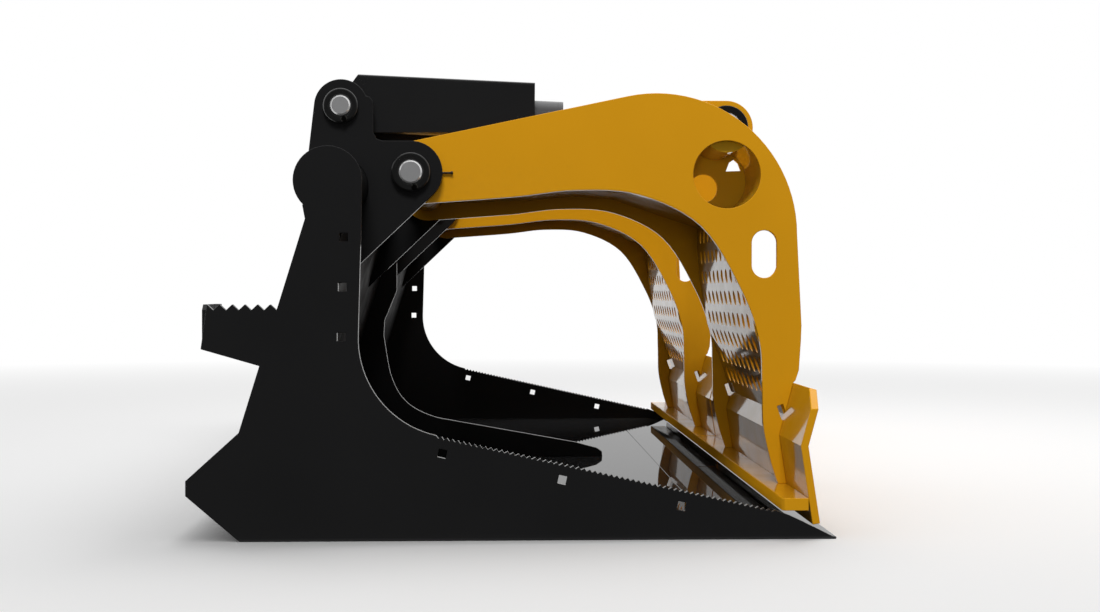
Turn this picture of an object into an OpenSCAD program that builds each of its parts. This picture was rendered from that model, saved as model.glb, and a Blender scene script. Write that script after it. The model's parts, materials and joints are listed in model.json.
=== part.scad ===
// Grapple bucket: an open-sided bucket with two hinged clamp arms.
// +X points out of the mouth, +Y to the operator's left and +Z up.
// The origin is under the middle of the overall box, on the ground.
// Profiles are drawn in X and Z and extruded across the bucket.
// Distances called "in" are measured from the outer face of a side plate.

/* [Bucket] */
// Overall width over the side plates
bucket_w = 2134; // [1900:1:2400]
// Overall length from the heel to the tip of the cutting edge
bucket_l = 1052; // [1030:1:1080]
// Thickness of each side plate
side_t = 12; // [8:1:16]
// Thickness of the floor and back sheets
floor_t = 8; // [6:0.5:11]
// Distance between the wear strips
wear_pitch = 520; // [400:1:600]
// Width of each wear strip
wear_w = 76; // [50:1:120]
// Height of the floor's underside above the ground
floor_lift = 12; // [10:0.5:14]
// Depth of the cutting edge from front to back
edge_w = 200; // [150:1:260]
// Thickness of the cutting edge
edge_t = 20; // [18:0.5:21]
// Length of the bevel on the cutting edge
bevel_l = 60; // [40:1:90]
// Radius of the bend from the floor to the back
floor_bend_r = 90; // [70:1:110]
// Depth of the box between the back sheet and the coupler face
box_depth = 62; // [50:1:75]

/* [Side plates] */
// Lean of the rear edge from the vertical
rear_slant = 17.2; // [15:0.1:19]
// Height of the foot of the rear edge
foot_z = 175; // [165:1:185]
// Distance from the heel to the foot of the rear edge
foot_in = 85; // [75:1:95]
// Length of the chamfer under the heel
heel_toe = 86; // [70:1:110]
// Height of the lower corner of the heel
heel_low = 74; // [60:1:85]
// Height of the upper corner of the heel
heel_high = 98; // [90:1:110]
// Radius of the round head around the cross tube
head_r = 55.2; // [53:0.1:60]
// Slope of the toothed upper edge
rake_angle = 12.6; // [11:0.1:13]
// Radius of the throat between the front and upper edges
throat_r = 160; // [120:1:180]
// Distance from the heel to the front edge of the upright
upright_w = 272; // [262:1:282]
// Pitch of the teeth along the upper edge
tooth_pitch = 9; // [7:0.5:14]
// Depth of the teeth along the upper edge
tooth_h = 4.2; // [2:0.1:6]
// Size of the square holes for carriage bolts
square_hole = 14; // [10:0.5:18]
// Spacing of the square holes up the front edge
upright_hole_pitch = 80; // [70:1:90]
// Spacing of the square holes along the toothed edge
rake_hole_pitch = 198; // [150:1:200]

/* [Steps] */
// Reach of the step behind the foot of the rear edge
step_out = 60; // [50:1:80]
// Height of the step's upper edge
step_top = 381; // [360:1:400]
// Height of the step's rear wall
step_h = 72; // [55:1:90]
// Width of the step's folded rear wall
step_w = 120; // [60:1:160]
// Thickness of the step's folded rear wall
step_t = 12; // [8:1:14]
// Pitch of the step's teeth
step_pitch = 19; // [14:0.5:26]
// Depth of the step's teeth
step_tooth = 9.5; // [5:0.5:12]

/* [Cross tube and towers] */
// Distance from the heel to the cross tube
tube_back = 227; // [220:1:234]
// Height of the cross tube
tube_z = 580; // [572:1:588]
// Outside diameter of the cross tube
tube_od = 101.6; // [90:0.1:104]
// Wall of the cross tube
tube_wall = 8; // [5:0.5:12]
// Thickness of each tower plate
tower_t = 12; // [8:0.5:14]
// Gap between a tower plate and an arm plate
tower_gap = 8; // [6:0.5:11]
// Radius of the tower plate around the cylinder's base pin
base_lobe_r = 46; // [42:0.5:50]
// Radius of the tower plate around the arm's pivot
pivot_lobe_r = 54; // [50:0.5:58]
// Plate around the cross tube
tube_rim = 7; // [5:0.5:12]
// Angle of the tower's lower edge
tower_rake = 43.5; // [38:0.5:48]

/* [Arms] */
// Distance in from the side plate to the arm's outer plate
arm_in = 192; // [180:1:215]
// Width of an arm over its plates
arm_w = 628; // [590:1:660]
// Thickness of an arm plate
arm_t = 10; // [8:0.5:12]
// Distance from the heel to the arm's pivot
pivot_back = 351; // [347:1:355]
// Height of the arm's pivot
pivot_z = 606; // [600:1:612]
// Radius of the arm plate around its pivot
arm_lobe_r = 54; // [50:0.5:58]
// Distance from the tip to the centre of the elbow
elbow_in = 275; // [270:1:280]
// Height of the centre of the elbow
elbow_z = 501; // [495:1:505]
// Outer radius of the elbow
elbow_r = 245; // [240:0.5:249]
// Thickness of the belly sheet under the arm
belly_t = 6; // [4:0.5:8]
// Thickness of the perforated screen
screen_t = 5; // [3:0.5:6]
// Diameter of the holes in the screen
screen_hole = 26; // [16:0.5:30]
// Spacing of the screen's holes across the arm
screen_pitch_y = 55; // [45:1:70]
// Spacing of the screen's rows
screen_pitch_z = 42; // [36:0.5:55]
// Diameter of the round port in the arm's outer plate
port_d = 118; // [90:1:124]
// Wall of the tube behind the port
port_wall = 4; // [3:0.5:6]
// Distance from the arm's outer face to the far face of its web
web_depth = 185; // [150:1:300]
// Height of the port
port_z = 605; // [604:1:612]
// Distance from the tip to the port
port_in = 153; // [148:1:158]
// Width of the oblong hole in the arm plates
slot_w = 44; // [30:1:50]
// Height of the oblong hole in the arm plates
slot_h = 83; // [70:1:95]

/* [Blade and bar] */
// Thickness of the front blade
blade_t = 12.4; // [8:0.1:14]
// Height of the blade's lower edge
blade_low = 23; // [22:0.5:26]
// Height of the bend in the blade
blade_bend_z = 151; // [140:1:160]
// Height of the blade's upper edge
blade_top = 242; // [235:1:250]
// Gap between the two blades
blade_gap = 12; // [4:1:30]
// Width of the clipped corner of the blade
clip_w = 56; // [20:1:80]
// Height of the clipped corner of the blade
clip_h = 31; // [15:1:50]
// Depth of the lower bar
bar_d = 44; // [36:1:48]
// Height of the lower bar
bar_h = 20; // [12:1:22]
// Height of the lower bar above the ground
bar_z = 46; // [44.5:0.5:50]
// Pitch of the bar's teeth
bar_pitch = 12; // [9:0.5:20]
// Depth of the bar's teeth
bar_tooth = 5; // [2:0.5:7]

/* [Cylinders and pins] */
// Distance in from the side plate to the cylinder
cyl_in = 255; // [253:1:262]
// Distance from the heel to the cylinder's base pin
base_back = 231.5; // [228:0.5:235]
// Height of the cylinder's base pin
base_z = 719; // [715:1:723]
// Distance from the tip to the rod pin
rod_pin_in = 150; // [147:1:153]
// Height of the rod pin
rod_pin_z = 690; // [687:1:693]
// Outside diameter of the barrel
barrel_od = 70; // [64:0.5:74]
// Bore of the barrel
barrel_id = 60; // [50:0.5:60]
// Distance from the base pin to the mouth of the barrel
barrel_l = 374; // [360:1:390]
// Diameter of the rod
rod_d = 32; // [25:0.5:36]
// Length of the piston
piston_l = 30; // [20:1:36]
// Diameter of the arm's pivot pins
pivot_pin_d = 40; // [30:0.5:44]
// Diameter of the cylinder's base pins
base_pin_d = 35; // [28:0.5:38]
// Diameter of the rod pins
rod_pin_d = 50; // [35:0.5:52]
// Outside diameter of the ring around a pivot pin
pivot_ring_d = 67.5; // [62:0.5:70]
// Outside diameter of the ring around a base pin
base_ring_d = 60; // [54:0.5:64]
// Outside diameter of the bush around a rod pin
rod_ring_d = 76; // [70:0.5:78]
// Thickness of the rings outside the towers
ring_h = 12; // [6:0.5:16]
// Width of the eyes at both ends of the cylinder
eye_w = 42; // [34:1:46]
// Width of the cover over the barrel
guard_w = 96; // [90:1:104]
// Thickness of the cover's sheet
guard_t = 5; // [3:0.5:6]

/* [Coupler] */
// Width of the coupler plate
coupler_w = 1140; // [1000:1:1180]
// Thickness of the coupler plate
coupler_t = 10; // [8:0.5:14]
// Length of the coupler plate up the slope
coupler_h = 340; // [320:1:344]
// Reach of the hook behind the coupler plate
hook_out = 34; // [25:1:45]
// Length of each wedge slot
wedge_l = 64; // [40:1:90]
// Depth of each wedge slot from front to back
wedge_d = 34; // [24:1:40]
// Distance between the centres of the wedge slots
wedge_pitch = 1000; // [800:1:1020]

/* [Hidden] */
$fn = 64;

// Clearance of a pin in its bore, on the radius
fit = 0.05;
// Gap between pieces that move past each other
gap = 0.3;

half_w = bucket_w / 2;
x_heel = -bucket_l / 2;
x_tip = bucket_l / 2;
floor_top = floor_lift + floor_t;

// The rear edge of the side plates, which the coupler face also follows
foot = [x_heel + foot_in, foot_z];
slope = [sin(rear_slant), cos(rear_slant)];
slope_ahead = [cos(rear_slant), -sin(rear_slant)];
function rear_x(z) = foot[0] + (z - foot[1]) * tan(rear_slant);

// Pivots in X and Z
tube_c = [x_heel + tube_back, tube_z];
pivot = [x_heel + pivot_back, pivot_z];
base_pin = [x_heel + base_back, base_z];
rod_pin = [x_tip - rod_pin_in, rod_pin_z];
elbow = [x_tip - elbow_in, elbow_z];
port = [x_tip - port_in, port_z];
tube_r = tube_od / 2;
// The port tube's bore is a little wider than the plate's hole
port_id = port_d + 2;
port_od = port_id + 2 * port_wall;

// The cylinder when the arms are closed
cyl_l = norm(rod_pin - base_pin);
cyl_tilt = atan2(rod_pin[1] - base_pin[1], rod_pin[0] - base_pin[0]);

// Places across the right-hand half, as distances in from the side plate
tower_outer_in = arm_in - tower_gap - tower_t;
arm_inner_in = arm_in + arm_w - arm_t;
tower_inner_in = arm_in + arm_w + tower_gap;
web_in = arm_in + web_depth - arm_t;
lug_near_in = cyl_in - eye_w / 2 - 2 - arm_t;
lug_far_in = cyl_in + eye_w / 2 + 2;
guard_in = cyl_in - guard_w / 2;
base_lug_in = cyl_in + guard_w / 2 + 15;
belly_w = arm_w - 2 * arm_t;

// Plain geometry helpers
function unit(v) = v / norm(v);
function left_of(v) = [-v[1], v[0]];
function polar(c, r, a) = c + r * [cos(a), sin(a)];
function arc(c, r, a0, a1, n) = [for (i = [0:n]) polar(c, r, a0 + (a1 - a0) * i / n)];
function reversed(p) = [for (i = [len(p) - 1:-1:0]) p[i]];
// Where two lines, each a point and a direction, cross
function meet(p, u, q, v) = p + u * (((q[0] - p[0]) * v[1] - (q[1] - p[1]) * v[0]) / (u[0] * v[1] - u[1] * v[0]));
// A corner moved sideways by t, with its neighbours' mitre
function mitred(p, i, t) =
    let (a = unit(i > 0 ? p[i] - p[i - 1] : p[1] - p[0]),
         b = i < len(p) - 1 ? unit(p[i + 1] - p[i]) : a,
         m = unit(a + b))
    p[i] + left_of(m) * t / (m * a);
function shifted(p, t) = [for (i = [0:len(p) - 1]) mitred(p, i, t)];
// The section of a sheet of thickness t to the left of a path
function sheet(p, t) = concat(p, reversed(shifted(p, t)));
// A smooth curve through hand-set points
function blend(a, b, c, d, t) =
    0.5 * (2 * b + (c - a) * t + (2 * a - 5 * b + 4 * c - d) * t * t + (3 * b - a - 3 * c + d) * t * t * t);
function smooth(p, n) = concat([for (i = [0:len(p) - 2], k = [0:n - 1])
    blend(p[max(i - 1, 0)], p[i], p[i + 1], p[min(i + 2, len(p) - 1)], k / n)], [p[len(p) - 1]]);
// Teeth from a to b, to the left of the line
function teeth(a, b, pitch, h) =
    let (n = max(1, round(norm(b - a) / pitch)), s = (b - a) / n, up = left_of(unit(b - a)) * h)
    [for (i = [0:n - 1]) each [a + s * i, a + s * (i + 0.5) + up]];

// Extrudes an XZ profile across the bucket between two places on Y
module across(y0, y1) {
    translate([0, y1, 0]) rotate([90, 0, 0]) linear_extrude(y1 - y0) children();
}
// The same, between two distances in from the right side plate
module inward(a, b) {
    across(-half_w + a, -half_w + b) children();
}
module hole(c, r) {
    translate(c) circle(r);
}
// Two circles and the flat flanks between them
module link(c1, r1, c2, r2) {
    d = c2 - c1;
    a = atan2(d[1], d[0]);
    b = acos((r1 - r2) / norm(d));
    hole(c1, r1);
    hole(c2, r2);
    polygon([polar(c1, r1, a - b), polar(c2, r2, a - b), polar(c2, r2, a + b), polar(c1, r1, a + b)]);
}
module left_copy() {
    mirror([0, 1, 0]) children();
}
// Places a cylinder piece: its own X runs from the base pin to the rod pin
module on_cylinder() {
    translate([base_pin[0], -half_w + cyl_in, base_pin[1]]) rotate([0, -cyl_tilt, 0]) children();
}
// A round piece across the bucket, between two distances in
module shaft(c, d, a, b) {
    inward(a, b) hole(c, d / 2);
}
module ring(c, d, bore, a, b) {
    inward(a, b) difference() {
        hole(c, d / 2);
        hole(c, bore / 2);
    }
}

// Side plates and steps
front_x = x_heel + upright_w;
rake_dir = [cos(rake_angle), -sin(rake_angle)];
front_dir = unit([-4, -140]);
front_top = [tube_c[0] + head_r - 1, tube_z - 60];
rake_end = [x_tip - 103, 47];
throat = meet(front_top, front_dir, rake_end, rake_dir);
throat_turn = 90 + rake_angle - atan2(-front_dir[0], -front_dir[1]);
throat_run = throat_r / tan(throat_turn / 2);
function throat_arc() =
    let (t0 = throat - front_dir * throat_run, c = t0 + left_of(front_dir) * throat_r,
         a0 = atan2(t0[1] - c[1], t0[0] - c[0]), turn = 180 - throat_turn)
    arc(c, throat_r, a0, a0 + turn, 20);
throat_points = throat_arc();
throat_end = throat_points[len(throat_points) - 1];
step_x = foot[0] - step_out;
step_root = rear_x(step_top - step_tooth);
step_under = [rear_x(step_top - step_tooth) - 34, step_top - step_tooth - 89];

module side_profile() {
    difference() {
        union() {
            hole(tube_c, head_r);
            polygon(concat(
                [[x_heel + heel_toe, 0], [x_heel, heel_low], [x_heel, heel_high], foot + [-19, -17], foot],
                [[rear_x(step_top - step_h - 27), step_top - step_h - 27], [step_x, step_top - step_h]],
                reversed(teeth([step_root, step_top - step_tooth], [step_x, step_top - step_tooth],
                    step_pitch, -step_tooth)),
                [[rear_x(step_top - step_tooth), step_top - step_tooth],
                    [rear_x(tube_z - 62), tube_z - 62], tube_c + [-40, -40], tube_c,
                    tube_c + [head_r - 0.4, 0], front_top],
                throat_points,
                teeth(throat_end, rake_end, tooth_pitch, -tooth_h),
                [rake_end, [x_tip - 79, 38], [x_tip - 38, 19], [x_tip - 3, 1.5], [x_tip - 3, 0]]));
        }
        side_holes();
    }
}
module side_holes() {
    for (i = [0:2])
        translate([front_x - 19 - 2 * i, tube_z - 91.5 - upright_hole_pitch * i])
            square(square_hole, center = true);
    for (i = [0:2])
        translate(throat_end + rake_dir * (16 + rake_hole_pitch * i) - left_of(rake_dir) * 26)
            rotate(-rake_angle) square(square_hole, center = true);
}
module side_plate() {
    color([0.11, 0.11, 0.11]) {
        inward(0, side_t) side_profile();
        step_wall();
    }
}
// The step's rear wall is folded inward off the side plate
module step_wall() {
    translate([step_x, -half_w + side_t, 0]) rotate([90, 0, 90])
        linear_extrude(step_t) polygon(concat(
            [[0, step_top - step_h], [0, step_top - step_tooth]],
            teeth([0, step_top - step_tooth], [step_w, step_top - step_tooth], step_pitch, step_tooth),
            [[step_w, step_top - step_tooth], [step_w, step_top - step_h]]));
}
module right_side_plate() { side_plate(); }
module left_side_plate() { left_copy() side_plate(); }

// Floor, back and heel
back_foot = [rear_x(floor_top) + box_depth / cos(rear_slant), floor_top];
bend_turn = 90 + rear_slant;
bend_run = floor_bend_r * tan(bend_turn / 2);
bend_c = [back_foot[0] + bend_run, floor_top + floor_bend_r];
edge_x = x_tip - edge_w;
function bend_points(r) = arc(bend_c, r, 270, 270 - bend_turn, 14);
back_start = polar(bend_c, floor_bend_r, 270 - bend_turn);
back_stop = meet(back_start, slope, [0, tube_z - tube_r - tube_rim], [1, 0]);
bent_floor = concat([[edge_x, floor_top]], bend_points(floor_bend_r));

module floor_sheet() {
    color([0.12, 0.12, 0.12]) across(-half_w + side_t, half_w - side_t)
        polygon(concat([[edge_x, floor_top]], bend_points(floor_bend_r),
            reversed(bend_points(floor_bend_r + floor_t)), [[edge_x, floor_lift]]));
}
module back_profile() {
    difference() {
        polygon([back_start, back_start + slope * 500,
            back_start + slope * 500 - slope_ahead * floor_t, back_start - slope_ahead * floor_t]);
        translate([tube_c[0] - 400, tube_z]) square(800);
        hole(tube_c, tube_r);
    }
}
module back_sheet() {
    color([0.12, 0.12, 0.12]) across(-half_w + side_t, half_w - side_t) back_profile();
}
heel_t = floor_lift - 2;
lip_start = foot + slope * 15;
heel_path = [lip_start, foot, [x_heel + 4, heel_high - 1], [x_heel + 4, heel_low + 2],
    [x_heel + heel_toe + 3, 2], [bend_c[0] + 65, 2]];
lip_dir = unit(heel_path[2] - foot);
lip_mid = foot + lip_dir * 52;
module heel_sheet() {
    color([0.11, 0.11, 0.11]) difference() {
        across(-half_w + side_t, half_w - side_t) polygon(sheet(heel_path, heel_t));
        for (s = [-1, 1])
            translate([lip_mid[0] - wedge_d / 2, s * wedge_pitch / 2 - wedge_l / 2, heel_high - 20])
                cube([wedge_d, wedge_l, 90]);
    }
}
module cutting_edge() {
    color([0.4, 0.38, 0.36]) across(-half_w + side_t, half_w - side_t)
        polygon([[edge_x, 0], [x_tip, 0], [x_tip, 1.5], [x_tip - bevel_l, edge_t], [edge_x, edge_t]]);
}
module wear_strips() {
    for (i = [-1.5:1:1.5])
        color([0.12, 0.12, 0.12]) translate([bend_c[0] + 67, i * wear_pitch - wear_w / 2, 0])
            cube([edge_x - bend_c[0] - 67, wear_w, floor_lift]);
}

// Centre rib: its front edge is drawn, its rear follows the floor and back
rib_t = 12;
rib_top = tube_z - 96;
rib_front = [[x_heel + 268, rib_top], [x_heel + 268, rib_top - 81], [x_heel + 240, 334], [x_heel + 238, 300],
    [x_heel + 247, 242], [x_heel + 256, 196], [x_heel + 286, 145], [x_heel + 344, 113],
    [x_tip - 374, 53], [x_tip - 325, 40], [x_tip - 312, 31], [x_tip - 311, floor_top]];
module centre_rib() {
    color([0.11, 0.11, 0.11]) across(-rib_t / 2, rib_t / 2)
        polygon(concat(rib_front, bend_points(floor_bend_r),
            [meet(back_start, slope, [0, rib_top], [1, 0])]));
}

// Cross tube and towers
module cross_tube() {
    color([0.11, 0.11, 0.11]) ring(tube_c, tube_od, tube_od - 2 * tube_wall, side_t, bucket_w - side_t);
}
// The tower's lower edge is tangent to the pivot lobe and runs down to the back sheet
tower_dir = [-cos(tower_rake), -sin(tower_rake)];
tower_tangent = pivot + left_of(tower_dir) * pivot_lobe_r;
tower_toe = meet(tower_tangent, tower_dir, back_start, slope);
tower_right = base_pin[0] + base_lobe_r + 9;
module tower_profile() {
    difference() {
        union() {
            link(tube_c, tube_r + tube_rim, base_pin, base_lobe_r);
            hole(pivot, pivot_lobe_r);
            polygon(reversed([base_pin, base_pin + [0, base_lobe_r - 18], [tower_right - 6, base_z + 16],
                [tower_right, base_z + 8], [tower_right, pivot_z + pivot_lobe_r + 14],
                [tower_right + 6, pivot_z + pivot_lobe_r + 3], [tower_right + 16, pivot_z + pivot_lobe_r],
                pivot + [0, pivot_lobe_r], pivot, tower_tangent, tower_toe,
                meet(back_start, slope, [0, tube_z - tube_r], [1, 0]), tube_c]));
        }
        hole(tube_c, tube_r);
        back_profile();
    }
}
module tower_plate(a, bores) {
    color([0.1, 0.1, 0.1]) inward(a, a + tower_t) difference() {
        tower_profile();
        hole(pivot, pivot_pin_d / 2 + fit);
        if (bores > 1) hole(base_pin, base_pin_d / 2 + fit);
    }
}
module tower_plate_1() { tower_plate(tower_outer_in, 2); }
module tower_plate_2() { tower_plate(tower_inner_in, 1); }
module tower_plate_3() { left_copy() tower_plate(tower_inner_in, 1); }
module tower_plate_4() { left_copy() tower_plate(tower_outer_in, 2); }
module base_lug() {
    inward(base_lug_in, base_lug_in + tower_t) difference() {
        link(tube_c, tube_r + tube_rim, base_pin, base_lobe_r);
        hole(tube_c, tube_r);
        hole(base_pin, base_pin_d / 2 + fit);
        back_profile();
    }
}
module both() {
    children();
    left_copy() children();
}
module base_lugs() {
    color([0.1, 0.1, 0.1]) both() base_lug();
}

// Coupler: plate, hook and ribs behind the back sheet
coupler_top = lip_start + slope * coupler_h;
function ahead(p, d) = p + slope_ahead * d;
module coupler_plate() {
    color([0.11, 0.11, 0.11]) across(-coupler_w / 2, coupler_w / 2)
        polygon([lip_start, coupler_top, ahead(coupler_top, coupler_t), ahead(lip_start, coupler_t)]);
}
hook_path = [ahead(coupler_top, coupler_t), coupler_top, coupler_top + [-hook_out, -hook_out * 0.9]];
module coupler_hook() {
    color([0.11, 0.11, 0.11]) across(-coupler_w / 2, coupler_w / 2)
        polygon([coupler_top, ahead(coupler_top, coupler_t), ahead(coupler_top, coupler_t) + slope * coupler_t,
            coupler_top + slope * coupler_t + slope_ahead * 3,
            coupler_top + [-hook_out - 7, -hook_out * 0.9 + 6], coupler_top + [-hook_out, -hook_out * 0.9],
            coupler_top]);
}
rib_depth = box_depth - floor_t - coupler_t;
module coupler_ribs() {
    n = 6;
    rib_low = lip_start + slope * 20;
    rib_high = coupler_top - slope * 60;
    for (i = [0:n - 1])
        color([0.11, 0.11, 0.11]) translate([0, -coupler_w / 2 + 20 + i * (coupler_w - 40) / (n - 1), 0])
            across(-5, 5) polygon([ahead(rib_low, coupler_t), ahead(rib_high, coupler_t),
                ahead(rib_high, coupler_t + rib_depth), ahead(rib_low, coupler_t + rib_depth)]);
}

// Pins, rings, spacers and lock bolts in the towers
pin_proud = 2;
bush_l = 70;
ring_out_in = tower_outer_in - ring_h;
module pivot_pin_pair() {
    shaft(pivot, pivot_pin_d, ring_out_in - pin_proud, arm_in + bush_l - 8);
    shaft(pivot, pivot_pin_d, arm_in + arm_w - bush_l + 8, tower_inner_in + tower_t + ring_h + pin_proud);
}
module pivot_pins() {
    color([0.75, 0.75, 0.76]) both() pivot_pin_pair();
}
module base_pins() {
    color([0.75, 0.75, 0.76]) both()
        shaft(base_pin, base_pin_d, ring_out_in - pin_proud, base_lug_in + tower_t + ring_h + pin_proud);
}
module pin_ring_set() {
    ring(pivot, pivot_ring_d, pivot_pin_d + 2 * fit, ring_out_in, tower_outer_in);
    ring(pivot, pivot_ring_d, pivot_pin_d + 2 * fit, tower_inner_in + tower_t, tower_inner_in + tower_t + ring_h);
    ring(base_pin, base_ring_d, base_pin_d + 2 * fit, ring_out_in, tower_outer_in);
    ring(base_pin, base_ring_d, base_pin_d + 2 * fit, base_lug_in + tower_t, base_lug_in + tower_t + ring_h);
}
module pin_rings() {
    color([0.09, 0.09, 0.09]) both() pin_ring_set();
}
module spacer_set() {
    ring(pivot, pivot_ring_d, pivot_pin_d + 2 * fit, tower_outer_in + tower_t, arm_in - gap);
    ring(pivot, pivot_ring_d, pivot_pin_d + 2 * fit, arm_in + arm_w + gap, tower_inner_in);
    ring(base_pin, base_pin_d + 12, base_pin_d + 2 * fit, tower_outer_in + tower_t, cyl_in - eye_w / 2 - gap);
    ring(base_pin, base_pin_d + 12, base_pin_d + 2 * fit, cyl_in + eye_w / 2 + gap, base_lug_in);
}
// A grease nipple reaches out of the gap between tower and arm plate
nipple_l = 67.5;
module grease_nipple() {
    translate([pivot[0], -half_w + tower_outer_in + tower_t + tower_gap / 2, pivot[1]]) rotate([0, 90, 0]) {
        translate([0, 0, pivot_ring_d / 2 - 4]) cylinder(r = 2, h = nipple_l - pivot_ring_d / 2 + 4, $fn = 24);
        translate([0, 0, nipple_l]) cylinder(r = 3, h = 4, $fn = 24);
    }
}
module pin_spacers() {
    color([0.3, 0.3, 0.3]) both() {
        spacer_set();
        grease_nipple();
    }
}
// A hex head on the face of each outer ring keeps its pin from turning
lock_d = 9;
module lock_bolt(c, ring_d, pin_d, a, b) {
    inward(a, b) translate(polar(c, (ring_d + pin_d) / 4, -75)) circle(d = lock_d, $fn = 6);
}
module lock_bolt_set() {
    lock_bolt(pivot, pivot_ring_d, pivot_pin_d, ring_out_in - 4, ring_out_in);
    lock_bolt(base_pin, base_ring_d, base_pin_d, ring_out_in - 4, ring_out_in);
    lock_bolt(pivot, pivot_ring_d, pivot_pin_d, tower_inner_in + tower_t + ring_h,
        tower_inner_in + tower_t + ring_h + 4);
}
module lock_bolts() {
    color([0.2, 0.2, 0.2]) both() lock_bolt_set();
}

// Arm plates
blade_low_p = [x_tip - 41.5, blade_low];
blade_bend = [x_tip - 61, blade_bend_z];
blade_top_p = [x_tip - 36.4, blade_top];
blade_path = [blade_top_p, blade_bend, blade_low_p];
function blade_x(z) = blade_bend[0] + (z - blade_bend_z) * (blade_low_p[0] - blade_bend[0]) / (blade_low - blade_bend_z);
bar_top = bar_z + bar_h;
arm_foot = [blade_x(bar_top), bar_top];
// Angle at which the top edge leaves the pivot lobe and meets the elbow
top_lean = atan2(elbow[1] - pivot[1], elbow[0] - pivot[0])
    + acos((arm_lobe_r - elbow_r) / norm(elbow - pivot));
arm_outer_edge = concat([polar(pivot, arm_lobe_r, top_lean)], arc(elbow, elbow_r, top_lean, 0, 26),
    [[elbow[0] + elbow_r + 8, 342], [elbow[0] + elbow_r + 7, 316], [elbow[0] + elbow_r + 3.5, 264]],
    [blade_top_p + [4, 4]]);
arm_inner_edge = smooth([[arm_foot[0] - 15, bar_top], [arm_foot[0] - 21, 83], [x_tip - 78, 113],
    [x_tip - 89, 168], [x_tip - 91, 240], [x_tip - 96, 316], [x_tip - 128, 405], [x_tip - 198, 515],
    [x_tip - 305, 569], [x_tip - 416, 577], [pivot[0] + 175, pivot_z - 41],
    pivot + [6, 0.4 - arm_lobe_r]], 6);
slot_c = [x_tip - 87.5, 466.5];
module arm_profile() {
    difference() {
        union() {
            hole(pivot, arm_lobe_r);
            polygon(reversed(concat(arm_outer_edge, [blade_top_p, blade_bend, arm_foot], arm_inner_edge, [pivot])));
        }
        hull_slot(slot_c, slot_w, slot_h);
        translate(blade_bend + [5.5, 39.5]) rotate(19) square([11, 26], center = true);
        hole(pivot, pivot_ring_d / 2 + fit);
    }
}
// A round-ended upright slot
module hull_slot(c, w, h) {
    hole(c + [0, (h - w) / 2], w / 2);
    hole(c - [0, (h - w) / 2], w / 2);
    translate(c) square([w, h - w], center = true);
}
arm_yellow = [0.75, 0.53, 0.09];
module outer_plate() {
    color(arm_yellow) inward(arm_in, arm_in + arm_t) difference() {
        arm_profile();
        hole(port, port_d / 2);
    }
}
module inner_plate() {
    color(arm_yellow) inward(arm_inner_in, arm_inner_in + arm_t) arm_profile();
}

// Belly sheet, screen and web between the arm plates
belly_end = [x_tip - 118, 533];
belly_path = [pivot + [12, -17], [pivot[0] + 215, pivot_z - 11], [x_tip - 396, pivot_z - 2],
    [x_tip - 305, 597], belly_end];
belly_top = shifted(belly_path, belly_t);
module belly_profile() {
    difference() {
        polygon(sheet(belly_path, belly_t));
        hole(pivot, pivot_ring_d / 2);
    }
}
module belly_sheet() {
    color(arm_yellow) {
        inward(arm_in + arm_t, web_in) difference() {
            belly_profile();
            port_section(port_od / 2, 0);
        }
        inward(web_in, arm_inner_in) belly_profile();
    }
}
screen_path = [belly_end + [-screen_t - 2, belly_t / 2 + 2], [x_tip - 125, 501], [x_tip - 120, 430], [x_tip - 102, 331],
    [x_tip - 48.7, 178.6]];
function walk(p, s, i = 0) =
    let (l = norm(p[i + 1] - p[i]))
    s <= l || i == len(p) - 2 ? [p[i] + unit(p[i + 1] - p[i]) * s, unit(p[i + 1] - p[i])] : walk(p, s - l, i + 1);
function path_length(p, i = 0) = i >= len(p) - 1 ? 0 : norm(p[i + 1] - p[i]) + path_length(p, i + 1);
screen_rows = floor((path_length(screen_path) - 30) / screen_pitch_z);
screen_cols = floor((belly_w - 30) / screen_pitch_y);
module screen_cutters() {
    first_y = arm_in + arm_t + (belly_w - (screen_cols - 1) * screen_pitch_y) / 2;
    for (r = [0:screen_rows - 1], c = [0:screen_cols - 1]) {
        at = walk(screen_path, 24 + r * screen_pitch_z);
        translate([at[0][0], -half_w + first_y + c * screen_pitch_y, at[0][1]])
            rotate([0, 90 + atan2(at[1][0], -at[1][1]), 0])
                cylinder(d = screen_hole, h = 6 * screen_t, center = true, $fn = 24);
    }
}
module screen() {
    color(arm_yellow) difference() {
        inward(arm_in + arm_t, arm_inner_in) difference() {
            polygon(sheet(screen_path, screen_t));
            belly_profile();
            blade_profile();
        }
        screen_cutters();
    }
}
// The web stands on the belly sheet and closes the port tube's far end, but for a hole and a window
web_edge = arc(elbow, elbow_r - 14, 100, 10, 14);
web_window = [port + [24, 19], port + [52, 20], port + [47, 34], port + [39, 41], port + [30, 35]];
screen_front = shifted(screen_path, screen_t);
module web_plate() {
    color(arm_yellow) inward(web_in, web_in + arm_t) difference() {
        polygon(concat(web_edge, [[x_tip - 60, 440], screen_front[2], screen_front[1],
            [belly_top[4][0] + 1, screen_front[1][1] + 20], belly_top[4] + [1, 0],
            belly_top[4], belly_top[3], belly_top[2]]));
        hole(port + [-18, -13], 26);
        polygon(web_window);
    }
}
// The port tube is dented where the eye of the rod passes above it
module port_section(r, wall) {
    difference() {
        hole(port, r);
        hole(rod_pin, rod_eye_r + 1 + wall);
    }
}
module port_tube() {
    near = arm_in + arm_t;
    dent_in = lug_near_in - bush_proud - pin_proud - 0.5;
    color(arm_yellow) union() {
        ring(port, port_od, port_id, near, dent_in);
        inward(dent_in - port_wall / 2, dent_in) intersection() {
            hole(port, port_id / 2 + 1);
            hole(rod_pin, rod_eye_r + 1 + port_wall);
        }
        inward(dent_in, web_in) difference() {
            port_section(port_od / 2, 0);
            port_section(port_id / 2, port_wall);
        }
    }
}

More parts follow.
